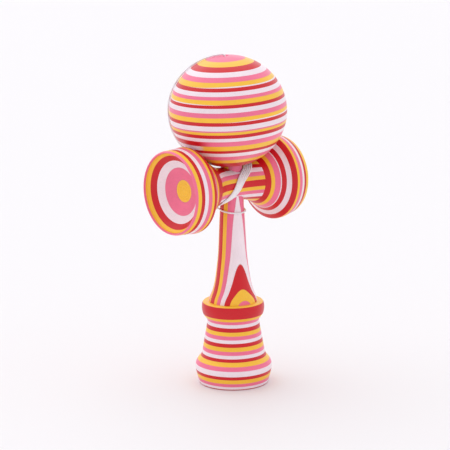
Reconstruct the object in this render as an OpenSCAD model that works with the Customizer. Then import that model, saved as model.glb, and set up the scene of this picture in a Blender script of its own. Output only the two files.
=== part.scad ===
// Kendama: a turned ken (shaft and base cup), a crosspiece with two cups, a bored ball and its string.
// Origin at the middle of the base's rim. +Z runs up the ken, the crosspiece lies along X, the front is -Y.

/* [Ball] */
// Diameter across the ball's middle
ball_d = 59.6; // [58:0.1:61]
// Diameter along the ball's own axis, slightly flatter after turning
ball_h = 56.8; // [56:0.1:59]
// Diameter of the hole that takes the spike
bore_d = 21; // [20:0.5:22]
// Depth of that hole, from the ball's middle upwards
bore_top = 18.2; // [17.5:0.1:20]
// Diameter of the small string hole at the top
string_hole_d = 2.6; // [2:0.1:3]
// Height of the ball's middle above the base
ball_z = 142.1; // [142:0.1:144]
// Lean of the resting ball towards the big cup, in degrees
ball_lean = 3.7; // [3:0.1:4]

/* [Ken] */
// Height of the spike's tip
tip_z = 149; // [146:0.5:149]
// Radius of the shaft where it enters the crosspiece from below
taper_low_r = 6.05; // [6:0.05:6.3]
// Radius of the shaft just above the crosspiece
taper_high_r = 5.53; // [5.2:0.01:5.6]
// Radius of the glued tenon in the base
tenon_r = 6; // [5:0.5:7]

/* [Base cup] */
// Height of the base
base_h = 43.2; // [42:0.1:44]
// Radius of the foot's lip
lip_r = 19.75; // [19:0.05:20.5]
// Radius of the neck between foot and collar
neck_r = 13.4; // [13:0.1:14]
// Radius of the collar
collar_r = 16.1; // [15.6:0.1:16.6]
// Radius of the dish's mouth
dish_r = 15.4; // [14:0.1:15.8]

/* [Crosspiece] */
// Height of the crosspiece's axis
cross_z = 104.9; // [104:0.1:105]
// Radius of the barrel's waist
waist_r = 8.5; // [8:0.1:8.6]
// Largest radius of the big cup
big_edge_r = 21.9; // [21:0.1:22.5]
// Largest radius of the small cup
small_edge_r = 22.1; // [21:0.1:22.6]
// Distance of the big cup's rim from the ken's axis
big_rim_x = 41.2; // [40.9:0.1:41.5]
// Distance of the small cup's rim from the ken's axis
small_rim_x = 34.9; // [34.5:0.1:35.5]
// Radius of the bowl that the ball lands on
bowl_r = 28.5; // [28:0.5:30]

/* [String] */
// Diameter of the string
string_d = 0.9; // [0.8:0.1:1]
// Direction, seen from above, in which the string comes down the ball
run_turn = 135; // [130:1:138]
// Radius of the loop round the shaft
neck_loop_r = 6.8; // [6.7:0.1:7.2]
// Height of that loop
neck_loop_z = 91.3; // [90:0.1:92]

/* [Hidden] */
$fn = 64;
pink = [0.93, 0.45, 0.58];
yellow = [0.97, 0.69, 0.2];
red = [0.79, 0.13, 0.17];
white = [0.93, 0.9, 0.92];
ball_forward = 0.9;          // lean of the resting ball towards the front, in degrees
ball_x = -1.8;               // the leaning ball's middle, off the ken's axis
ball_y = 0.1;
fit_gap = 0.05;              // running clearance between the shaft's taper and the barrel
taper_low_z = 94;
taper_high_z = 116;
tenon_low_z = 20;
dish_ball_r = 24;
mouth_r = 11;                // rim of the ball's hole, after its chamfer
chamfer = 0.8;
spigot_r = 6.5;              // glue spigots between the barrel and its cups
spigot_long = 5;
big_joint_x = 16;            // where the barrel meets each cup
small_joint_x = 13.3;
big_socket_x = big_joint_x + spigot_long;
small_socket_x = small_joint_x + spigot_long;
big_joint_r = 11.6;
small_joint_r = 11.1;
lip_deep = 2;                // straight lip inside each cup's rim
bowl_flat_r = 5.4;           // flat middle left in each bowl by the lathe
string_r = string_d / 2;
run_gap = 0.65;              // from the ball's surface to the middle of the string
bead_r = 4;
bead_long = 7;
bead_hole_r = 0.8;
band_w = 2.1;                // half width and half thickness of the wound turns
band_t = 0.45;

// A smooth line through hand-chosen points.
function curve_at(a, b, c, d, t) =
    0.5 * (2 * b + (c - a) * t + (2 * a - 5 * b + 4 * c - d) * t * t + (3 * b - a - 3 * c + d) * t * t * t);
function smooth_line(p, steps = 3) = concat(
    [for (i = [0 : len(p) - 2]) for (k = [0 : steps - 1])
        curve_at(p[max(i - 1, 0)], p[i], p[i + 1], p[min(i + 2, len(p) - 1)], k / steps)],
    [p[len(p) - 1]]);
function unit(v) = v / norm(v);
function around(v, n) = (v % n + n) % n;

// A band or tube through the points, kept flat against the outward directions given for each point.
module sweep(points, outward, half_w, half_t, sides = 8, closed = false) {
    n = len(points);
    rings = [for (i = [0 : n - 1])
        let (ahead = closed ? points[around(i + 1, n)] : points[min(i + 1, n - 1)],
             behind = closed ? points[around(i - 1, n)] : points[max(i - 1, 0)],
             along = unit(ahead - behind),
             side = unit(cross(along, outward[i])),
             out = cross(side, along))
        for (k = [0 : sides - 1])
            points[i] + side * half_w * cos(360 * k / sides) + out * half_t * sin(360 * k / sides)];
    walls = [for (i = [0 : closed ? n - 1 : n - 2]) for (k = [0 : sides - 1])
        let (a = i * sides + k, b = i * sides + (k + 1) % sides,
             c = around(i + 1, n) * sides + (k + 1) % sides, d = around(i + 1, n) * sides + k)
        each [[a, b, c], [a, c, d]]];
    ends = closed ? [] : [[for (k = [sides - 1 : -1 : 0]) k],
        [for (k = [0 : sides - 1]) (n - 1) * sides + k]];
    polyhedron(points = rings, faces = concat(walls, ends), convexity = 6);
}

// Turned about the crosspiece's axis, from [radius, x] points.
module turned_on_x(outline) {
    translate([0, 0, cross_z]) rotate([0, 90, 0]) rotate_extrude() polygon(outline);
}

// The ball's own frame: its middle, leaning on the spike.
module at_ball() {
    translate([ball_x, ball_y, ball_z]) rotate([ball_forward, -ball_lean, 0]) children();
}

// --- Ken ---
shaft_line = smooth_line([[12.5, 43.2], [11.9, 45.6], [10.6, 48.8], [9.7, 52], [9.05, 55.2], [8.2, 61.3],
    [7.5, 67.6], [7.1, 74], [6.8, 80.2], [6.5, 86.4], [6.27, 90], [taper_low_r, taper_low_z]]);
spike_line = smooth_line([[taper_high_r, taper_high_z], [5.1, 122], [4.4, 130], [3.4, 139],
    [2.4, tip_z - 3.6], [1.5, tip_z - 1], [0.8, tip_z - 0.2], [0, tip_z]]);

// Shaft, taper and spike, turned from one laminated blank, with a tenon at the foot.
module ken_shaft() {
    color(pink) rotate_extrude() polygon(concat(
        [[0, tenon_low_z], [tenon_r, tenon_low_z], [tenon_r, base_h]], shaft_line, spike_line));
}

// Foot, neck and collar, turned from a block with its veneers lying flat, bored for the tenon.
base_line = concat(
    [[17.5, 0]],
    smooth_line([[17.9, 0.4], [18.4, 2], [19.2, 5], [lip_r, 8], [19.6, 10.6], [18.6, 12.6], [17.3, 14.1],
        [16.4, 15.8], [15.6, 20], [15, 23.5], [14.4, 26.8], [13.8, 30], [neck_r, 33], [13.8, 34.4],
        [14.8, 35.6], [15.7, 37.2], [collar_r, 39.2], [collar_r, 41.2], [15.8, 42.5], [15.2, base_h]]));
module base_cup() {
    color(yellow) difference() {
        rotate_extrude() polygon(concat([[0, 0]], base_line, [[0, base_h]]));
        translate([0, 0, tenon_low_z]) cylinder(r = tenon_r, h = base_h);
        // the dish: a spherical hollow with a flat middle
        translate([0, 0, -sqrt(dish_ball_r * dish_ball_r - dish_r * dish_r)])
            sphere(r = dish_ball_r, $fn = 96);
        translate([0, 0, -1]) cylinder(r = 5.5, h = 7.6);
    }
}

// --- Crosspiece ---
// Barrel with its waist, a tapered hole for the shaft and a small hole for the string's end.
barrel_line = smooth_line([[big_joint_r, -big_joint_x], [10.5, -14], [9.7, -12], [9, -9], [8.6, -5],
    [waist_r, -1], [8.75, 3], [9.4, 7], [10.15, 10], [small_joint_r, small_joint_x]]);
module crosspiece_barrel() {
    color(red) difference() {
        turned_on_x(concat(
            [[0, -big_socket_x], [spigot_r, -big_socket_x], [spigot_r, -big_joint_x]],
            barrel_line,
            [[spigot_r, small_joint_x], [spigot_r, small_socket_x], [0, small_socket_x]]));
        translate([0, 0, taper_low_z]) cylinder(r1 = taper_low_r + fit_gap, r2 = taper_high_r + fit_gap,
            h = taper_high_z - taper_low_z);
        translate([3, 0, cross_z]) rotate([-90, 0, 0]) cylinder(r = 0.8, h = 15);
    }
}

// The inside of a cup: a straight lip, the round bowl and its flat middle, ending on the axis.
function sag_at(r) = bowl_r - sqrt(bowl_r * bowl_r - r * r);
function bowl_line(mouth_r, rim_x) =
    let (low_x = rim_x - lip_deep - sag_at(mouth_r))
    concat([[mouth_r + 0.3, rim_x]],
        [for (k = [0 : 12]) let (r = mouth_r + (bowl_flat_r - mouth_r) * k / 12) [r, low_x + sag_at(r)]],
        [[0, low_x + sag_at(bowl_flat_r)]]);
function flipped(line) = [for (p = line) [p[0], -p[1]]];

big_back = smooth_line([[big_joint_r, 16], [13.3, 18.5], [15, 20.9], [17.8, 24.9], [20.2, 27.4],
    [21.6, 28.6], [big_edge_r, 29.8]]);
big_wall = [[21.7, 32.5], [21.4, 36], [21.25, 39.8], [21, 40.7], [20.5, big_rim_x]];
module big_cup() {
    color(yellow) turned_on_x(flipped(concat(
        [[0, big_socket_x], [spigot_r, big_socket_x], [spigot_r, big_joint_x]],
        big_back, big_wall, bowl_line(19.9, big_rim_x))));
}
small_back = smooth_line([[small_joint_r, 13.3], [12.8, 15.9], [14.2, 18], [15.4, 20.2], [17.6, 22.6],
    [20.4, 24.3], [small_edge_r - 0.3, 25.2], [small_edge_r, 26.2]]);
small_wall = [[22, 28], [21.2, 31.5], [20.7, 33.8], [20.3, 34.6], [19.7, small_rim_x]];
module small_cup() {
    color(red) turned_on_x(concat(
        [[0, small_socket_x], [spigot_r, small_socket_x], [spigot_r, small_joint_x]],
        small_back, small_wall, bowl_line(18.9, small_rim_x)));
}

// --- Ball ---
// Half outline of the slightly flattened ball, from its top pole to its bottom pole.
function ball_r_at(a) = [ball_d / 2 * cos(a), ball_h / 2 * sin(a)];
mouth_z = -ball_h / 2 * sqrt(1 - pow(2 * mouth_r / ball_d, 2));
module ball() {
    color(pink) at_ball() difference() {
        rotate_extrude() polygon([for (a = [90 : -4.5 : -90]) ball_r_at(a)]);
        translate([0, 0, -ball_h]) cylinder(d = bore_d, h = ball_h + bore_top);
        translate([0, 0, mouth_z - 2])
            cylinder(r1 = mouth_r + 1, r2 = mouth_r - chamfer, h = 2 + 2 * chamfer);
        cylinder(d = string_hole_d, h = ball_h);
        translate([0, 0, ball_h / 2 - 0.6])
            cylinder(r1 = string_hole_d / 2, r2 = string_hole_d / 2 + 1.2, h = 1.2);
    }
}

// --- String and its bead ---
bead_z = bore_top - bead_long - 0.4;
// The bead stops the knotted end from pulling out through the top of the ball.
module string_bead() {
    color(yellow) at_ball() translate([0, 0, bead_z]) rotate_extrude() polygon(concat(
        smooth_line([[2.4, 0], [3.6, 1], [bead_r, bead_long / 2], [3.6, bead_long - 1], [2.4, bead_long]]),
        [[bead_hole_r, bead_long], [bead_hole_r, 0]]));
}
module string_knot() {
    color(white) at_ball() translate([0, 0, bead_z - 1.5]) sphere(r = 1.5, $fn = 32);
}

// The wound turns cross the front from over the barrel, beside the spike, to under it, and back behind.
wind_points = [[7.9, 0, 10.6], [7.6, -2.5, 10.1], [6.6, -4.8, 9], [4.7, -6.5, 7.4], [2.2, -7.9, 5.6],
    [-1, -9.1, 2.8], [-3.4, -9.5, -0.9], [-5.2, -8.9, -3.8], [-7.5, -7.1, -6.7], [-10.2, -4.2, -9.3],
    [-11.3, 0, -10.6], [-9.6, 4.2, -9.2], [-6.5, 7.5, -6.3], [-2.8, 9.3, -2.5], [0.8, 9.4, 1.6],
    [4, 8.1, 5.7], [6.6, 5.2, 9]];
function loop_line(p, steps) = let (n = len(p)) [for (i = [0 : n - 1]) for (k = [0 : steps - 1])
    curve_at(p[around(i - 1, n)], p[i], p[around(i + 1, n)], p[around(i + 2, n)], k / steps)];
module string_winding() {
    line = loop_line(wind_points, 2);
    color(white) translate([0, 0, cross_z])
        sweep(line, [for (p = line) unit([0, p[1], p[2]])], band_w, band_t, closed = true);
}

// One turn round the shaft below the crosspiece, coming down from the wound turns at the back left.
neck_turn = [for (a = [150 : 15 : 480])
    [neck_loop_r * cos(a), neck_loop_r * sin(a), neck_loop_z + 1.1 * sin(a)]];
module string_neck_loop() {
    color(white) sweep(neck_turn, [for (p = neck_turn) unit([p[0], p[1], 0])], string_r, string_r);
}

// From the hole at the ball's top down its left side, in the ball's own frame.
run_side = [cos(run_turn), sin(run_turn), 0];
function on_ball(a) = (ball_d / 2 + run_gap) * cos(a) * run_side + [0, 0, (ball_h / 2 + run_gap) * sin(a)];
run_over = [for (a = [87 : -4.5 : -57]) on_ball(a)];
module string_ball_run() {
    color(white) at_ball() sweep(run_over, [for (p = run_over) unit(p)], string_r, string_r);
}

ken_shaft();
base_cup();
crosspiece_barrel();
big_cup();
small_cup();
ball();
string_bead();
string_knot();
string_winding();
string_neck_loop();
string_ball_run();
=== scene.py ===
import math

import bmesh
import bpy
from mathutils import Euler, Matrix, Vector


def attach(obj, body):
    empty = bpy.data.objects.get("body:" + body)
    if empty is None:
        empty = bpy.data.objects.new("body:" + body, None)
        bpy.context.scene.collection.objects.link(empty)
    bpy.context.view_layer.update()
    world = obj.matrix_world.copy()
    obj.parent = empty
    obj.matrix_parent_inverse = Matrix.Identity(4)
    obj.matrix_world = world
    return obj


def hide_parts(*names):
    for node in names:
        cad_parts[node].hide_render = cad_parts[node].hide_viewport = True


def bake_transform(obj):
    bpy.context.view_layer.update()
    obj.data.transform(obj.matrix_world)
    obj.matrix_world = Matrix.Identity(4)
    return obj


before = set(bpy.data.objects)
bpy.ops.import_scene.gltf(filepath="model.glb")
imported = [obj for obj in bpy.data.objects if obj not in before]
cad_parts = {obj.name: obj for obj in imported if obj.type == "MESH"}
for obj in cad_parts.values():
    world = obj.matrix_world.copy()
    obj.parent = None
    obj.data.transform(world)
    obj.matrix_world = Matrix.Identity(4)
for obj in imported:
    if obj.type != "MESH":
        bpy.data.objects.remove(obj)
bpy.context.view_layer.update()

MM = 0.001

# --- View ---
# A long lens almost a metre away, on the big cup's side and slightly above the toy.
view_azimuth = math.radians(-41)
view_height = math.radians(12)
view_roll = math.radians(-0.66)
view_distance = 0.95
view_target = Vector((0, 0, 90 * MM))
off_centre = (-3.6 * MM, -6.9 * MM)      # middle of the frame, right of and above the target
towards = Vector((math.sin(view_azimuth) * math.cos(view_height),
                  -math.cos(view_azimuth) * math.cos(view_height), math.sin(view_height)))
level = Vector((math.cos(view_azimuth), math.sin(view_azimuth), 0))
upright = towards.cross(level)
right = level * math.cos(view_roll) + upright * math.sin(view_roll)
above = upright * math.cos(view_roll) - level * math.sin(view_roll)
camera = bpy.data.objects.new("camera", bpy.data.cameras.new("camera"))
bpy.context.collection.objects.link(camera)
camera.matrix_world = Matrix((right, above, towards)).transposed().to_4x4()
camera.location = view_target + right * off_centre[0] + above * off_centre[1] + towards * view_distance
camera.data.lens = 148.6
camera.data.sensor_width = 36
camera.data.clip_start = 0.05
camera.data.clip_end = 50
bpy.context.scene.camera = camera
bpy.context.scene.view_settings.view_transform = "Standard"

# --- String ---
# One white cord of three twisted plies. It is knotted under a bead inside the ball, comes out at the
# ball's top, runs down its side, turns once round the shaft, winds five times over the barrel and goes
# into a small hole in the barrel's back.
string_d = 0.9
string_lay = 3.4                # one full twist of the plies
winding_pitch = 0.925           # from one wound turn to the next
winding_lift = 0.5              # from the barrel's surface to the middle of the string
string_hole_x = 3
neck_loop_r = 6.8
neck_loop_z = 91.3
neck_loop_rise = 1.1            # the loop is this much higher at the back
edge_bend_r = 1.9               # bend of the string over the edge of the ball's top hole
ply_groove = 0.06               # depth of the grooves between the plies
section_sides = 15
cross_z = 104.9                 # height of the crosspiece's axis
ball_d = 59.6
ball_h = 56.8
ball_turn = Matrix.Translation(Vector((-1.8, 0.1, 142.1))) @ Euler(
    (math.radians(0.9), math.radians(-3.7), 0)).to_matrix().to_4x4()
run_turn = math.radians(135)    # direction, seen from above, in which the string comes down the ball
run_gap = 0.65                  # from the ball's surface to the middle of the string
bore_top = 18.2
bead_long = 7
bead_z = bore_top - bead_long - 0.4


def curve_at(a, b, c, d, t):
    """The Catmull-Rom curve through b and c, at share t of the way between them."""
    return 0.5 * (2 * b + (c - a) * t + (2 * a - 5 * b + 4 * c - d) * t * t
                  + (3 * b - a - 3 * c + d) * t * t * t)


def smooth_line(points, steps=6):
    """A smooth line through the points, as vectors."""
    points = [Vector(p) for p in points]
    last = len(points) - 1
    line = [curve_at(points[max(i - 1, 0)], points[i], points[i + 1], points[min(i + 2, last)], k / steps)
            for i in range(last) for k in range(steps)]
    return line + [points[last]]


barrel_line = [(11.6, -16), (10.5, -14), (9.7, -12), (9, -9), (8.6, -5), (8.5, -1), (8.75, 3),
               (9.4, 7), (10.15, 10), (11.1, 13.3)]


def barrel_r(x):
    """Radius of the barrel at x."""
    for (r_a, x_a), (r_b, x_b) in zip(barrel_line, barrel_line[1:]):
        if x <= x_b:
            return r_a + (r_b - r_a) * (x - x_a) / (x_b - x_a)
    return barrel_line[-1][0]


# The middle of the wound band, down the front and up the back: x, y and height above the barrel's axis.
wind_points = [Vector(p) for p in (
    (7.9, 0, 10.6), (7.6, -2.5, 10.1), (6.6, -4.8, 9), (4.7, -6.5, 7.4), (2.2, -7.9, 5.6), (-1, -9.1, 2.8),
    (-3.4, -9.5, -0.9), (-5.2, -8.9, -3.8), (-7.5, -7.1, -6.7), (-10.2, -4.2, -9.3), (-11.3, 0, -10.6),
    (-9.6, 4.2, -9.2), (-6.5, 7.5, -6.3), (-2.8, 9.3, -2.5), (0.8, 9.4, 1.6), (4, 8.1, 5.7), (6.6, 5.2, 9))]
places = len(wind_points)


def wound_at(u):
    """The band's middle line at place u, round the wound points."""
    i = math.floor(u)
    return curve_at(*[wind_points[(i + k) % places] for k in (-1, 0, 1, 2)], u - i)


def wound_string(u, lane):
    """The string on the barrel at place u, lane millimetres to the side of the band's middle."""
    p = wound_at(u)
    along = (wound_at(u + 0.05) - wound_at(u - 0.05)).normalized()
    p = p + along.cross(Vector((0, p.y, p.z)).normalized()) * lane
    out = Vector((0, p.y, p.z)).normalized() * (barrel_r(p.x) + winding_lift)
    return Vector((p.x, out.y, cross_z + out.z))


# The route starts in the ball's own frame, under the bead.
in_bore = [ball_turn @ Vector((0, 0, h)) for h in
           (bead_z - 1.6, bead_z + bead_long / 2, bore_top + 1, 22.6, 25.7)]
over_edge = [ball_turn @ Vector((edge_bend_r * (1 - math.cos(a)) * math.cos(run_turn),
                                 edge_bend_r * (1 - math.cos(a)) * math.sin(run_turn),
                                 ball_h / 2 - 1.25 + edge_bend_r * math.sin(a)))
             for a in (math.radians(d) for d in (5, 30, 60, 85))]
on_ball = [ball_turn @ Vector(((ball_d / 2 + run_gap) * math.cos(a) * math.cos(run_turn),
                               (ball_d / 2 + run_gap) * math.cos(a) * math.sin(run_turn),
                               (ball_h / 2 + run_gap) * math.sin(a)))
           for a in (math.radians(d) for d in range(81, -58, -6))]
ball_to_shaft = [Vector(p) for p in ((-11.5, 12.5, 110.5), (-10.2, 12, 103.5), (-8.4, 10.2, 97),
                                     (-6.9, 7.4, 93.2))]
round_shaft = [Vector((neck_loop_r * math.cos(a), neck_loop_r * math.sin(a),
                       neck_loop_z + neck_loop_rise * math.sin(a)))
               for a in (math.radians(d) for d in range(150, 451, 20))]
shaft_to_barrel = [Vector(p) for p in ((-3.1, 6.9, 93), (-6.2, 5.5, 93.7), (-9.4, 3, 94.1))]
first_u = 9.6                   # under the barrel, where the string arrives from the shaft
last_u = -70.5                  # behind the barrel, beside the hole
points_per_turn = 28
wound = []
turn_steps = round((first_u - last_u) / places * points_per_turn)
for k in range(turn_steps + 1):
    u = first_u + (last_u - first_u) * k / turn_steps
    wound.append(wound_string(u, winding_pitch * (2 - (5 - u) / places)))
hole_r = barrel_r(string_hole_x)
into_hole = [Vector((string_hole_x, y, cross_z + h)) for y, h in
             ((hole_r + 0.25, 0.9), (hole_r - 0.5, 0.15), (hole_r - 1.8, 0), (hole_r - 2.6, 0))]
string_line = smooth_line(in_bore + over_edge + on_ball + ball_to_shaft + round_shaft + shaft_to_barrel
                          + wound + into_hole, 24)


def even_line(line, spacing):
    """The same line with its points an even distance apart."""
    made, since = [line[0]], 0.0
    for a, b in zip(line, line[1:]):
        gap = (b - a).length
        while gap > 0 and since + gap >= spacing:
            a = a.lerp(b, (spacing - since) / gap)
            gap = (b - a).length
            made.append(a.copy())
            since = 0.0
        since += gap
    return made


def twisted_string(name, line, spacing=0.34, closed=False):
    """A three-ply cord along a line in millimetres, as a mesh in metres."""
    line = even_line(line, spacing)
    ply = bpy.data.curves.new(name + "_ply", "CURVE")
    ply.dimensions = "2D"
    section = ply.splines.new("POLY")
    section.points.add(section_sides - 1)
    for k, point in enumerate(section.points):
        a = 2 * math.pi * k / section_sides
        r = (string_d / 2 - ply_groove * (0.5 - 0.5 * math.cos(3 * a))) * MM
        point.co = (r * math.cos(a), r * math.sin(a), 0, 1)
    section.use_cyclic_u = True
    ply_object = bpy.data.objects.new(name + "_ply", ply)
    bpy.context.collection.objects.link(ply_object)
    path = bpy.data.curves.new(name + "_path", "CURVE")
    path.dimensions = "3D"
    path.twist_mode = "MINIMUM"
    spline = path.splines.new("POLY")
    spline.points.add(len(line) - 1)
    for k, (point, place) in enumerate(zip(spline.points, line)):
        point.co = (*(place * MM), 1)
        point.tilt = 2 * math.pi * k * spacing / string_lay
    spline.use_cyclic_u = closed
    path.bevel_mode = "OBJECT"
    path.bevel_object = ply_object
    path.use_fill_caps = not closed
    path_object = bpy.data.objects.new(name + "_path", path)
    bpy.context.collection.objects.link(path_object)
    bpy.context.view_layer.update()
    shaped = path_object.evaluated_get(bpy.context.evaluated_depsgraph_get())
    mesh = bpy.data.meshes.new_from_object(shaped)
    mesh.name = name
    for spare in (path_object, ply_object):
        bpy.data.objects.remove(spare)
    mesh.shade_smooth()
    piece = bpy.data.objects.new(name, mesh)
    bpy.context.collection.objects.link(piece)
    return piece, line


string, string_path = twisted_string("string", string_line)
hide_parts("string_winding", "string_neck_loop", "string_ball_run")
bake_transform(string)

# --- Studio ---
# A pale floor that runs out past the view, one very broad light from above, behind and to the left, and
# an even pale room that is dimmer in front of the toy.
bm = bmesh.new()
bmesh.ops.create_grid(bm, x_segments=1, y_segments=1, size=8)
floor = bpy.data.objects.new("floor", bpy.data.meshes.new("floor"))
bm.to_mesh(floor.data)
bm.free()
bpy.context.collection.objects.link(floor)
floor_paint = bpy.data.materials.new("floor paint")
floor_paint.use_nodes = True
floor_shader = floor_paint.node_tree.nodes["Principled BSDF"]
floor_shader.inputs["Base Color"].default_value = (0.853, 0.842, 0.84, 1)
floor_shader.inputs["Roughness"].default_value = 0.6
floor_shader.inputs["Specular IOR Level"].default_value = 0.1
floor.data.materials.append(floor_paint)

lamp = bpy.data.lights.new("ceiling", "SUN")
lamp.energy = 0.7
lamp.angle = math.radians(80)
ceiling = bpy.data.objects.new("ceiling", lamp)
bpy.context.collection.objects.link(ceiling)
ceiling.rotation_mode = "QUATERNION"
ceiling.rotation_quaternion = (Vector((0, 0, 1)) - level * 0.3 - towards * 0.25).to_track_quat("Z", "Y")

room_front = 0.8                # brightness of the room's side behind the camera
room_back = 1.15
room = bpy.data.worlds.new("room")
room.use_nodes = True
room_nodes = room.node_tree.nodes
room_links = room.node_tree.links
direction = room_nodes.new("ShaderNodeTexCoord")
facing = room_nodes.new("ShaderNodeVectorMath")
facing.operation = "DOT_PRODUCT"
facing.inputs[1].default_value = (-towards.x, -towards.y, 0)
room_links.new(direction.outputs["Generated"], facing.inputs[0])
shade = room_nodes.new("ShaderNodeMapRange")
shade.inputs["From Min"].default_value = -1
shade.inputs["From Max"].default_value = 1
shade.inputs["To Min"].default_value = room_front
shade.inputs["To Max"].default_value = room_back
room_links.new(facing.outputs["Value"], shade.inputs["Value"])
room_links.new(shade.outputs["Result"], room_nodes["Background"].inputs["Strength"])
room_nodes["Background"].inputs["Color"].default_value = (0.97, 0.96, 1, 1)
bpy.context.scene.world = room

# --- Ken shaft ---
# Shaft, taper and spike in one, turned from a blank of dyed maple veneers glued face to face with the
# grain along the shaft. A tenon at its foot is glued into the base.
taper_low = (6.05, 94)
taper_high = (5.53, 116)
tenon_r = 6
tenon_low = 20
base_h = 43.2
shaft_line = [(12.5, 43.2), (11.9, 45.6), (10.6, 48.8), (9.7, 52), (9.05, 55.2), (8.2, 61.3), (7.5, 67.6),
              (7.1, 74), (6.8, 80.2), (6.5, 86.4), (6.27, 90), taper_low]
spike_line = [taper_high, (5.1, 122), (4.4, 130), (3.4, 139), (2.4, 145.4), (1.5, 148), (0.8, 148.8),
              (0, 149)]
veneers_turn = math.atan2(-0.979, -0.205)    # the veneers' faces are turned away from the crosspiece


def turned(name, outline, place=Matrix.Identity(4), closed=False, rounds=144, edge=0.12):
    """A piece turned on the lathe from a [radius, height] outline in millimetres.
    closed joins the outline's ends, and edge is the bevel that eases its sharp edges."""
    bm = bmesh.new()
    line = [bm.verts.new((p[0], 0, p[1])) for p in outline]
    ends = line[1:] + line[:1] if closed else line[1:]
    profile = [bm.edges.new(pair) for pair in zip(line, ends)]
    bmesh.ops.spin(bm, geom=line + profile, cent=(0, 0, 0), axis=(0, 0, 1), dvec=(0, 0, 0),
                   angle=2 * math.pi, steps=rounds, use_merge=True, use_normal_flip=False,
                   use_duplicate=False)
    bmesh.ops.remove_doubles(bm, verts=bm.verts, dist=1e-4)
    bmesh.ops.recalc_face_normals(bm, faces=bm.faces)
    sharp = [e for e in bm.edges if len(e.link_faces) == 2 and e.calc_face_angle() > math.radians(28)]
    if sharp and edge:
        bmesh.ops.bevel(bm, geom=sharp, offset=edge, offset_type="OFFSET", segments=3, profile=0.5,
                        affect="EDGES", material=-1, clamp_overlap=True)
    bmesh.ops.transform(bm, matrix=Matrix.Scale(MM, 4) @ place, verts=bm.verts)
    mesh = bpy.data.meshes.new(name)
    bm.to_mesh(mesh)
    bm.free()
    mesh.shade_smooth()
    mesh.set_sharp_from_angle(angle=math.radians(35))
    piece = bpy.data.objects.new(name, mesh)
    bpy.context.collection.objects.link(piece)
    return piece


PINK = (0.915, 0.175, 0.305, 1)
YELLOW = (0.98, 0.56, 0.04, 1)
RED = (0.65, 0.006, 0.014, 1)
WHITE = (0.92, 0.79, 0.835, 1)


def wire(tree, kind, inputs=(), **settings):
    """A shader node with its settings, and its inputs joined to sockets or set to values."""
    made = tree.nodes.new("ShaderNode" + kind)
    for name, value in settings.items():
        setattr(made, name, value)
    for key, value in dict(inputs).items():
        if isinstance(value, bpy.types.NodeSocket):
            tree.links.new(value, made.inputs[key])
        else:
            made.inputs[key].default_value = value
    return made


def new_group(name, inputs, outputs):
    """An empty shader node group, with its inner input and output nodes."""
    tree = bpy.data.node_groups.new(name, "ShaderNodeTree")
    for label, kind, value in inputs:
        socket = tree.interface.new_socket(name=label, in_out="INPUT", socket_type="NodeSocket" + kind)
        if value is not None:
            socket.default_value = value
    for label, kind in outputs:
        tree.interface.new_socket(name=label, in_out="OUTPUT", socket_type="NodeSocket" + kind)
    return tree, tree.nodes.new("NodeGroupInput"), tree.nodes.new("NodeGroupOutput")


def maths(tree, operation, *values):
    """The output of a Math node."""
    return wire(tree, "Math", dict(enumerate(values)), operation=operation).outputs[0]


# Grain, pores, dye and glue lines of one dyed veneer; Place is in metres with the fibres along its X.
fibre_group, fed, gives = new_group(
    "dyed maple",
    [("Place", "Vector", None), ("Dye", "Color", None), ("Veneer", "Float", 0.0), ("Glue", "Float", 0.0)],
    [("Color", "Color"), ("Roughness", "Float"), ("Height", "Float")])
t = fibre_group
each = wire(t, "VectorMath", {0: (3.1, 1.7, 2.3), 3: 1.0}, operation="SCALE")
t.links.new(maths(t, "MULTIPLY", fed.outputs["Veneer"], 9.0), each.inputs[3])
own_place = wire(t, "VectorMath", {0: fed.outputs["Place"], 1: each.outputs[0]}, operation="ADD")
fibres = wire(t, "VectorMath", {0: own_place.outputs[0], 1: (90, 2200, 2200)}, operation="MULTIPLY")
streaks = wire(t, "TexNoise", {"Vector": fibres.outputs[0], "Scale": 1.0, "Detail": 3.0, "Roughness": 0.6})
pore_place = wire(t, "VectorMath", {0: own_place.outputs[0], 1: (420, 4600, 4600)}, operation="MULTIPLY")
pores = wire(t, "TexNoise", {"Vector": pore_place.outputs[0], "Scale": 1.0, "Detail": 1.0})
pore_mask = wire(t, "MapRange", {"Value": pores.outputs["Fac"], "From Min": 0.64, "From Max": 0.74})
clouds = wire(t, "TexNoise", {"Vector": own_place.outputs[0], "Scale": 110.0, "Detail": 2.0})
strength = wire(t, "TexWhiteNoise", {"W": fed.outputs["Veneer"]}, noise_dimensions="1D")
light = maths(t, "ADD", 0.83, maths(t, "MULTIPLY", streaks.outputs["Fac"], 0.16))
light = maths(t, "ADD", light, maths(t, "MULTIPLY", clouds.outputs["Fac"], 0.14))
light = maths(t, "ADD", light, maths(t, "MULTIPLY", strength.outputs["Value"], 0.04))
light = maths(t, "SUBTRACT", light, maths(t, "MULTIPLY", pore_mask.outputs[0], 0.12))
grained = wire(t, "Mix", {0: 1.0, 6: fed.outputs["Dye"]}, data_type="RGBA", blend_type="MULTIPLY")
shade_colour = wire(t, "CombineColor", {0: light, 1: light, 2: light})
t.links.new(shade_colour.outputs[0], grained.inputs[7])
glued = wire(t, "Mix", {0: maths(t, "MULTIPLY", fed.outputs["Glue"], 0.4), 6: grained.outputs[2],
                        7: (0.34, 0.13, 0.07, 1)}, data_type="RGBA")
t.links.new(glued.outputs[2], gives.inputs["Color"])
satin = maths(t, "ADD", 0.30, maths(t, "MULTIPLY", clouds.outputs["Fac"], 0.14))
satin = maths(t, "ADD", satin, maths(t, "MULTIPLY", pore_mask.outputs[0], 0.15))
t.links.new(satin, gives.inputs["Roughness"])
relief = maths(t, "SUBTRACT", maths(t, "MULTIPLY", streaks.outputs["Fac"], 0.5), pore_mask.outputs[0])
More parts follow.
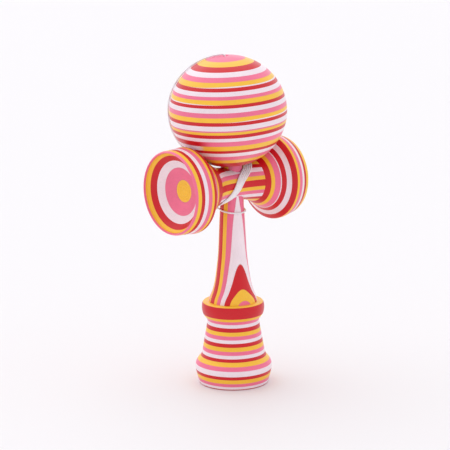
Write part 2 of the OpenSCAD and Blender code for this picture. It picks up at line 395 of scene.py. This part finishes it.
relief = maths(t, "SUBTRACT", relief, maths(t, "MULTIPLY", fed.outputs["Glue"], 0.5))
t.links.new(relief, gives.inputs["Height"])

# Fine rings left by the lathe tool, by the distance along the outline.
lathe_group, fed, gives = new_group("lathe marks", [("Along", "Float", 0.0)], [("Height", "Float")])
t = lathe_group
fine_place = maths(t, "MULTIPLY", fed.outputs["Along"], 3200.0)
fine = wire(t, "TexNoise", {"W": fine_place, "Scale": 1.0, "Detail": 2.0}, noise_dimensions="1D")
broad = wire(t, "TexNoise", {"W": maths(t, "MULTIPLY", fed.outputs["Along"], 700.0), "Scale": 1.0},
             noise_dimensions="1D")
t.links.new(maths(t, "ADD", fine.outputs["Fac"], broad.outputs["Fac"]), gives.inputs["Height"])


def veneer_stack(name, first, veneers):
    """A node group that gives a veneer's dye and number from the height in the block, in metres.
    first is the stack's lowest height, and veneers are (dye, thickness) pairs, in millimetres."""
    tree, fed, gives = new_group(name, [("Height", "Float", 0.0)], [("Dye", "Color"), ("Veneer", "Float")])
    total = sum(thick for _, thick in veneers)
    share = wire(tree, "MapRange", {"Value": fed.outputs["Height"], "From Min": first * MM,
                                    "From Max": (first + total) * MM})
    ramp = wire(tree, "ValToRGB", {0: share.outputs[0]})
    ramp.color_ramp.interpolation = "CONSTANT"
    stops = ramp.color_ramp.elements
    reached = 0.0
    for k, (dye, thick) in enumerate(veneers):
        stop = stops[k] if k < 1 else stops.new(reached / total)
        stop.position = reached / total
        stop.color = (*dye[:3], (k + 0.5) / len(veneers))
        reached += thick
    if len(stops) > len(veneers):
        stops.remove(stops[len(stops) - 1])
    tree.links.new(ramp.outputs["Color"], gives.inputs["Dye"])
    tree.links.new(ramp.outputs["Alpha"], gives.inputs["Veneer"])
    return tree


def veneer_wood(name, stack, height_axis, centre=(0, 0, 0), turn=(0, 0, 0), mirrored=False,
                grain_turn=(0, 0, 0), waver=0.12, coat=0.12, paint=None):
    """Lacquered veneered wood. centre, in millimetres, and turn put the stack's own frame on the piece.
    height_axis is that frame's axis across the veneers. A mirrored stack runs both ways from its middle,
    waver is how far the veneers bend, and paint can change the dye in places."""
    made = bpy.data.materials.new(name)
    made.use_nodes = True
    t = made.node_tree
    shader = t.nodes["Principled BSDF"]
    place = wire(t, "TexCoord").outputs["Object"]
    own = wire(t, "Mapping", {"Vector": place, "Location": [c * MM for c in centre], "Rotation": turn},
               vector_type="TEXTURE").outputs[0]
    parts = wire(t, "SeparateXYZ", {0: own})
    height = parts.outputs[height_axis]
    if mirrored:
        height = maths(t, "ABSOLUTE", height)
    drift = wire(t, "TexNoise", {"Vector": own, "Scale": 38.0, "Detail": 1.0})
    swing = maths(t, "MULTIPLY", maths(t, "SUBTRACT", drift.outputs["Fac"], 0.5), 2 * waver * MM)
    height = maths(t, "ADD", height, swing)
    here = wire(t, "Group", node_tree=stack, inputs={"Height": height})
    beside = wire(t, "Group", node_tree=stack, inputs={"Height": maths(t, "ADD", height, 0.05 * MM)})
    glue = maths(t, "GREATER_THAN", maths(t, "ABSOLUTE", maths(
        t, "SUBTRACT", here.outputs["Veneer"], beside.outputs["Veneer"])), 0.001)
    dye = here.outputs["Dye"]
    if paint:
        dye = paint(t, own, height, dye)
    fibre_place = wire(t, "Mapping", {"Vector": own, "Rotation": grain_turn})
    fibre = wire(t, "Group", node_tree=fibre_group, inputs={
        "Place": fibre_place.outputs[0], "Dye": dye, "Veneer": here.outputs["Veneer"], "Glue": glue})
    t.links.new(fibre.outputs["Color"], shader.inputs["Base Color"])
    t.links.new(fibre.outputs["Roughness"], shader.inputs["Roughness"])
    shader.inputs["Coat Weight"].default_value = coat
    shader.inputs["Coat Roughness"].default_value = 0.22
    shader.inputs["Specular IOR Level"].default_value = 0.35
    return made, t, parts, fibre, shader


def lathe_relief(t, along, fibre, shader, marks):
    """Joins the wood's relief and the lathe marks into the shader's normal."""
    rings = wire(t, "Group", node_tree=lathe_group, inputs={"Along": along})
    grain_bump = wire(t, "Bump", {"Height": fibre.outputs["Height"], "Strength": 0.25, "Distance": 0.00003})
    ring_bump = wire(t, "Bump", {"Height": rings.outputs["Height"], "Strength": marks, "Distance": 0.00002,
                                 "Normal": grain_bump.outputs[0]})
    t.links.new(ring_bump.outputs[0], shader.inputs["Normal"])


shaft = turned("ken_shaft_wood", [(0, tenon_low), (tenon_r, tenon_low), (tenon_r, base_h)]
               + smooth_line(shaft_line) + smooth_line(spike_line))
shaft_stack = veneer_stack("shaft veneers", 0, [
    (RED, 1.85), (YELLOW, 2.05), (PINK, 2.0), (WHITE, 2.0), (RED, 2.05), (YELLOW, 1.95), (PINK, 3.1)])
wood, t, parts, fibre, shader = veneer_wood(
    "shaft wood", shaft_stack, 0, turn=(0, 0, veneers_turn), mirrored=True,
    grain_turn=(0, math.radians(90), 0), waver=0.06)
lathe_relief(t, parts.outputs[2], fibre, shader, 0.4)
shaft.data.materials.append(wood)
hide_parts("ken_shaft")
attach(shaft, "ken")

# --- Base cup ---
# Foot, neck and collar in one, turned from a block with its veneers lying flat. The foot is dished to
# catch the ball, and the collar is bored for the shaft's tenon.
dish_ball_r = 24
dish_mouth_r = 15.4
dish_flat = (5.5, 6.6)
base_line = [(17.9, 0.4), (18.4, 2), (19.2, 5), (19.75, 8), (19.6, 10.6), (18.6, 12.6), (17.3, 14.1),
             (16.4, 15.8), (15.6, 20), (15, 23.5), (14.4, 26.8), (13.8, 30), (13.4, 33), (13.8, 34.4),
             (14.8, 35.6), (15.7, 37.2), (16.1, 39.2), (16.1, 41.2), (15.8, 42.5), (15.2, 43.2)]


def arc_line(radius, middle, from_r, to_r, steps):
    """[radius, height] points on a ball of that radius about a middle on the axis."""
    return [(r, middle + math.sqrt(radius * radius - r * r)) for r in
            (from_r + (to_r - from_r) * k / steps for k in range(steps + 1))]


dish_middle = -math.sqrt(dish_ball_r ** 2 - dish_mouth_r ** 2)
base = turned("base_cup_wood", [(17.5, 0)] + smooth_line(base_line)
              + [(tenon_r, base_h), (tenon_r, tenon_low), (0, tenon_low), (0, dish_flat[1]), dish_flat]
              + arc_line(dish_ball_r, dish_middle, dish_flat[0], dish_mouth_r, 16), closed=True)
# The lowest, thin red veneer is painted shadow: a dark band that stands in for the shade under the foot's
# rounded bottom edge.
base_veneers_and_edge_shadow = veneer_stack("base veneers and painted edge shadow", 0, [
    (RED, 0.5), (WHITE, 1.3), (PINK, 1.9), (YELLOW, 2.0), (RED, 1.9), (WHITE, 2.8), (PINK, 2.1),
    (YELLOW, 2.0), (RED, 1.6), (WHITE, 1.6), (PINK, 2.0), (YELLOW, 2.1), (RED, 2.0), (WHITE, 1.7),
    (PINK, 2.0), (YELLOW, 2.0), (RED, 2.0), (WHITE, 1.9), (PINK, 1.8), (YELLOW, 1.6), (RED, 5.9),
    (YELLOW, 2.6)])
wood, t, parts, fibre, shader = veneer_wood("base wood", base_veneers_and_edge_shadow, 2, waver=0.08)
lathe_relief(t, parts.outputs[2], fibre, shader, 0.4)
base.data.materials.append(wood)
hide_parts("base_cup")
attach(base, "ken")

# --- Crosspiece barrel ---
# The waisted middle of the crosspiece, with its veneers lying flat along it. A tapered hole lets the
# shaft through, a small hole in the back takes the string's end, and a spigot at each end holds a cup.
big_joint_x = 16
small_joint_x = 13.3
spigot_r = 6.5
spigot_long = 5
fit_gap = 0.05
string_hole_r = 0.8
on_x = Matrix.Translation(Vector((0, 0, cross_z))) @ Matrix.Rotation(math.radians(90), 4, "Y")
big_end_x = -big_joint_x - spigot_long
small_end_x = small_joint_x + spigot_long
barrel = turned("crosspiece_barrel_wood",
                [(0, big_end_x), (spigot_r, big_end_x), (spigot_r, -big_joint_x)] + smooth_line(barrel_line)
                + [(spigot_r, small_joint_x), (spigot_r, small_end_x), (0, small_end_x)], on_x)


def drilled(piece, tool):
    """Takes the tool's shape out of the piece."""
    cut = piece.modifiers.new("drilled", "BOOLEAN")
    cut.operation = "DIFFERENCE"
    cut.solver = "EXACT"
    cut.object = tool
    bpy.context.view_layer.update()
    shaped = piece.evaluated_get(bpy.context.evaluated_depsgraph_get())
    mesh = bpy.data.meshes.new_from_object(shaped)
    piece.modifiers.clear()
    piece.data = mesh
    bpy.data.objects.remove(tool)
    mesh.shade_smooth()
    mesh.set_sharp_from_angle(angle=math.radians(30))


taper_hole = [(0, taper_low[1]), (taper_low[0] + fit_gap, taper_low[1]),
              (taper_high[0] + fit_gap, taper_high[1]), (0, taper_high[1])]
drilled(barrel, turned("taper_tool", taper_hole, edge=0))
string_hole = [(0, 0), (string_hole_r, 0), (string_hole_r, 15), (0, 15)]
at_string_hole = (Matrix.Translation(Vector((string_hole_x, 0, cross_z)))
                  @ Matrix.Rotation(math.radians(-90), 4, "X"))
drilled(barrel, turned("string_hole_tool", string_hole, at_string_hole, rounds=32, edge=0))
barrel_stack = veneer_stack("barrel veneers", 0, [
    (RED, 1.7), (YELLOW, 1.9), (PINK, 2.0), (WHITE, 1.9), (RED, 1.5), (YELLOW, 1.6), (PINK, 2.0)])
wood, t, parts, fibre, shader = veneer_wood(
    "barrel wood", barrel_stack, 2, centre=(0, 0, cross_z), mirrored=True, waver=0.06)
lathe_relief(t, parts.outputs[0], fibre, shader, 0.4)
barrel.data.materials.append(wood)
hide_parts("crosspiece_barrel")
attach(barrel, "crosspiece")

# --- Cups ---
# Two cups, each turned from its own block with the veneers across the crosspiece, and glued onto the
# barrel's spigots. The lathe has cut through the veneers in the bowls and left rings and a flat middle.
bowl_r = 28.5
lip_deep = 2
bowl_flat_r = 5.4
tool_rings = (4.2, 2.9, 1.7)
big_rim_x = 41.2
small_rim_x = 34.9


def bowl_line(mouth_r, rim_x):
    """The inside of a cup, from its lip to the axis, with the tool's rings on the flat middle."""
    low = rim_x - lip_deep - (bowl_r - math.sqrt(bowl_r ** 2 - mouth_r ** 2))
    line = [(mouth_r + 0.3, rim_x)]
    steps = 28
    for k in range(steps + 1):
        r = mouth_r + (bowl_flat_r - mouth_r) * k / steps
        line.append((r, low + bowl_r - math.sqrt(bowl_r ** 2 - r * r)))
    flat = line[-1][1]
    for r in tool_rings:
        line += [(r + 0.25, flat), (r, flat - 0.22), (r - 0.25, flat)]
    return line + [(0, flat)]


def cup(name, joint_x, back, wall, mouth_r, rim_x, place):
    """A cup on its spigot hole, from the outline of its back and its wall."""
    socket_x = joint_x + spigot_long
    return turned(name, [(0, socket_x), (spigot_r, socket_x), (spigot_r, joint_x)] + smooth_line(back)
                  + [Vector(p) for p in wall] + bowl_line(mouth_r, rim_x), place, rounds=176)


big_back = [(11.6, 16), (13.3, 18.5), (15, 20.9), (17.8, 24.9), (20.2, 27.4), (21.6, 28.6), (21.9, 29.8)]
big_wall = [(21.7, 32.5), (21.4, 36), (21.25, 39.8), (21, 40.7), (20.5, big_rim_x)]
small_back = [(11.1, 13.3), (12.8, 15.9), (14.2, 18), (15.4, 20.2), (17.6, 22.6), (20.4, 24.3),
              (21.8, 25.2), (22.1, 26.2)]
small_wall = [(22, 28), (21.2, 31.5), (20.7, 33.8), (20.3, 34.6), (19.7, small_rim_x)]
flip_x = Matrix.Translation(Vector((0, 0, cross_z))) @ Matrix.Rotation(math.radians(-90), 4, "Y")
big_cup = cup("big_cup_wood", big_joint_x, big_back, big_wall, 19.9, big_rim_x, flip_x)
small_cup = cup("small_cup_wood", small_joint_x, small_back, small_wall, 18.9, small_rim_x, on_x)
big_stack = veneer_stack("big cup veneers", -41.2, [
    (PINK, 1.0), (YELLOW, 2.1), (RED, 2.1), (WHITE, 2.1), (PINK, 2.2), (YELLOW, 1.4), (RED, 1.8),
    (WHITE, 2.0), (PINK, 2.1), (YELLOW, 2.2), (RED, 6.2)])
small_stack = veneer_stack("small cup veneers", 13.3, [
    (RED, 2.5), (YELLOW, 1.6), (PINK, 2.6), (WHITE, 0.4), (RED, 1.9), (WHITE, 1.5), (RED, 1.8),
    (YELLOW, 1.5), (PINK, 2.1), (WHITE, 1.7), (RED, 1.6), (YELLOW, 2.4)])
for piece, stack, node_name in ((big_cup, big_stack, "big_cup"), (small_cup, small_stack, "small_cup")):
    wood, t, parts, fibre, shader = veneer_wood(node_name + " wood", stack, 0, centre=(0, 0, cross_z),
                                                grain_turn=(0, 0, math.radians(90)), waver=0.06)
    wood_r = maths(t, "SQRT", maths(t, "ADD", maths(t, "POWER", parts.outputs[1], 2.0),
                                    maths(t, "POWER", parts.outputs[2], 2.0)))
    lathe_relief(t, maths(t, "ADD", parts.outputs[0], wood_r), fibre, shader, 0.6)
    piece.data.materials.append(wood)
    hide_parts(node_name)
    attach(piece, "crosspiece")

# --- Ball ---
# Turned from a stack of veneers, then bored from below for the spike, with an eased mouth, and drilled
# through the top for the string. Some veneers run out to a sliver or are butted from two colours.
bore_r = 10.5
mouth_r = 11
mouth_ease = 0.8
top_hole_r = 1.3
mouth_z = -ball_h / 2 * math.sqrt(1 - (2 * mouth_r / ball_d) ** 2)


def ball_z_at(r):
    """Height of the ball's upper surface at that radius, in its own frame."""
    return ball_h / 2 * math.sqrt(max(0, 1 - (2 * r / ball_d) ** 2))


hole_top_r = top_hole_r + 0.6
top_angle = math.asin(ball_z_at(hole_top_r) / (ball_h / 2))
low_angle = math.asin(mouth_z / (ball_h / 2))
ball_steps = 72
ball_outline = [(ball_d / 2 * math.cos(a), ball_h / 2 * math.sin(a)) for a in
                (top_angle + (low_angle - top_angle) * k / ball_steps for k in range(ball_steps + 1))]
ball_outline += [(bore_r, mouth_z + mouth_ease), (bore_r, bore_top), (top_hole_r, bore_top + 0.8),
                 (top_hole_r, ball_h / 2 - 0.6)]
ball = turned("ball_wood", ball_outline, ball_turn, closed=True, rounds=192, edge=0.25)
ball_stack = veneer_stack("ball veneers", -28.5, [
    (RED, 5.3), (YELLOW, 2.2), (PINK, 2.3), (WHITE, 2.1), (RED, 1.6), (YELLOW, 2.4), (PINK, 2.5),
    (WHITE, 2.0), (RED, 1.7), (YELLOW, 1.5), (PINK, 0.5), (WHITE, 2.5), (RED, 2.0), (YELLOW, 2.3),
    (PINK, 2.3), (WHITE, 2.2), (RED, 1.6), (YELLOW, 2.3), (PINK, 1.7), (WHITE, 2.0), (RED, 1.8),
    (YELLOW, 2.4), (PINK, 2.0), (WHITE, 2.1), (RED, 1.9), (YELLOW, 1.9), (PINK, 3.6)])

# A patch of another veneer between two heights, reaching in from one side; Wedge 1 thins it to nothing.
patch_group, fed, gives = new_group(
    "odd veneer",
    [("Height", "Float", 0.0), ("Across", "Float", 0.0), ("Low", "Float", 0.0), ("High", "Float", 0.0),
     ("Starts", "Float", 0.0), ("Full", "Float", 0.0), ("Wedge", "Float", 1.0)], [("Mask", "Float")])
t = patch_group
reach = wire(t, "MapRange", {"Value": fed.outputs["Across"], "From Min": fed.outputs["Starts"],
                             "From Max": fed.outputs["Full"]}, interpolation_type="SMOOTHSTEP").outputs[0]
thinned = wire(t, "Mix", {0: fed.outputs["Wedge"], 2: 1.0, 3: reach}).outputs[0]
veiled = wire(t, "Mix", {0: fed.outputs["Wedge"], 2: reach, 3: 1.0}).outputs[0]
high = maths(t, "ADD", fed.outputs["Low"], maths(
    t, "MULTIPLY", maths(t, "SUBTRACT", fed.outputs["High"], fed.outputs["Low"]), thinned))
inside = maths(t, "MULTIPLY", maths(t, "GREATER_THAN", fed.outputs["Height"], fed.outputs["Low"]),
               maths(t, "LESS_THAN", fed.outputs["Height"], high))
t.links.new(maths(t, "MULTIPLY", inside, veiled), gives.inputs["Mask"])


def odd_veneers(t, own, height, dye):
    """Puts the ball's slivers and two-colour veneers over its even stack."""
    across = wire(t, "VectorMath", {0: own, 1: (level.x, level.y, 0)}, operation="DOT_PRODUCT")
    for colour, low, high, starts, full, wedge in (
            (WHITE, 16.3, 16.85, -22, 4, 1), (WHITE, 8.55, 9, 0, -22, 1), (WHITE, 0.05, 0.6, -6, 20, 1),
            (RED, -12.6, -10.1, -8, -16, 0), (WHITE, -15, -12.6, -12, -16, 0)):
        mask = wire(t, "Group", node_tree=patch_group, inputs={
            "Height": height, "Across": across.outputs["Value"], "Low": low * MM, "High": high * MM,
            "Starts": starts * MM, "Full": full * MM, "Wedge": wedge})
        dye = wire(t, "Mix", {0: mask.outputs[0], 6: dye, 7: colour}, data_type="RGBA").outputs[2]
    return dye


wood, t, parts, fibre, shader = veneer_wood(
    "ball wood", ball_stack, 2, centre=ball_turn.to_translation(), turn=ball_turn.to_euler(),
    waver=0.14, coat=0.25, paint=odd_veneers)
lathe_relief(t, parts.outputs[2], fibre, shader, 0.15)
ball.data.materials.append(wood)
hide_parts("ball")
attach(ball, "ball")

# --- Bead and knot ---
# A small turned bead on the string inside the ball, held by an overhand knot, keeps the string's end
# from pulling out through the ball's top.
bead_r = 4
bead_line = [(2.4, 0), (3.6, 1), (bead_r, bead_long / 2), (3.6, bead_long - 1), (2.4, bead_long)]
bead_hole_r = 0.8
bead = turned("string_bead_wood", smooth_line(bead_line) + [(bead_hole_r, bead_long), (bead_hole_r, 0)],
              ball_turn @ Matrix.Translation(Vector((0, 0, bead_z))), closed=True, rounds=64)
bead_stack = veneer_stack("bead wood layers", 10, [(YELLOW, 9)])
wood, t, parts, fibre, shader = veneer_wood(
    "bead wood", bead_stack, 2, centre=ball_turn.to_translation(), turn=ball_turn.to_euler(), waver=0)
lathe_relief(t, parts.outputs[2], fibre, shader, 0.4)
bead.data.materials.append(wood)
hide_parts("string_bead")
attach(bead, "string_end")

knot_middle = ball_turn @ Vector((0, 0, bead_z - 1.5))
knot_size = 0.34
knot_line = [knot_middle + Vector((knot_size * (math.sin(a) + 2 * math.sin(2 * a)),
                                   knot_size * (math.cos(a) - 2 * math.cos(2 * a)), -0.55 * math.sin(3 * a)))
             for a in (2 * math.pi * k / 90 for k in range(91))]
knot, _ = twisted_string("stopper_knot", knot_line, spacing=0.2)
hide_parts("string_knot")
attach(knot, "string_end")

# White polyester fibres, as a fine fuzz of tone and relief from the piece's own map.
string_fibre = bpy.data.materials.new("string fibre")
string_fibre.use_nodes = True
t = string_fibre.node_tree
shader = t.nodes["Principled BSDF"]
shader.inputs["Base Color"].default_value = (0.97, 0.94, 0.96, 1)
shader.inputs["Roughness"].default_value = 0.62
shader.inputs["Sheen Weight"].default_value = 0.3
place = wire(t, "TexCoord").outputs["Object"]
fuzz = wire(t, "TexNoise", {"Vector": place, "Scale": 5200.0, "Detail": 2.0})
tint = wire(t, "ValToRGB", {0: fuzz.outputs["Fac"]})
tint.color_ramp.elements[0].color = (0.84, 0.80, 0.83, 1)
tint.color_ramp.elements[0].position = 0.25
tint.color_ramp.elements[1].color = (0.98, 0.96, 0.975, 1)
tint.color_ramp.elements[1].position = 0.6
t.links.new(tint.outputs["Color"], shader.inputs["Base Color"])
fuzz_bump = wire(t, "Bump", {"Height": fuzz.outputs["Fac"], "Strength": 0.5, "Distance": 0.00005})
t.links.new(fuzz_bump.outputs[0], shader.inputs["Normal"])
for piece in (string, knot):
    piece.data.materials.append(string_fibre)
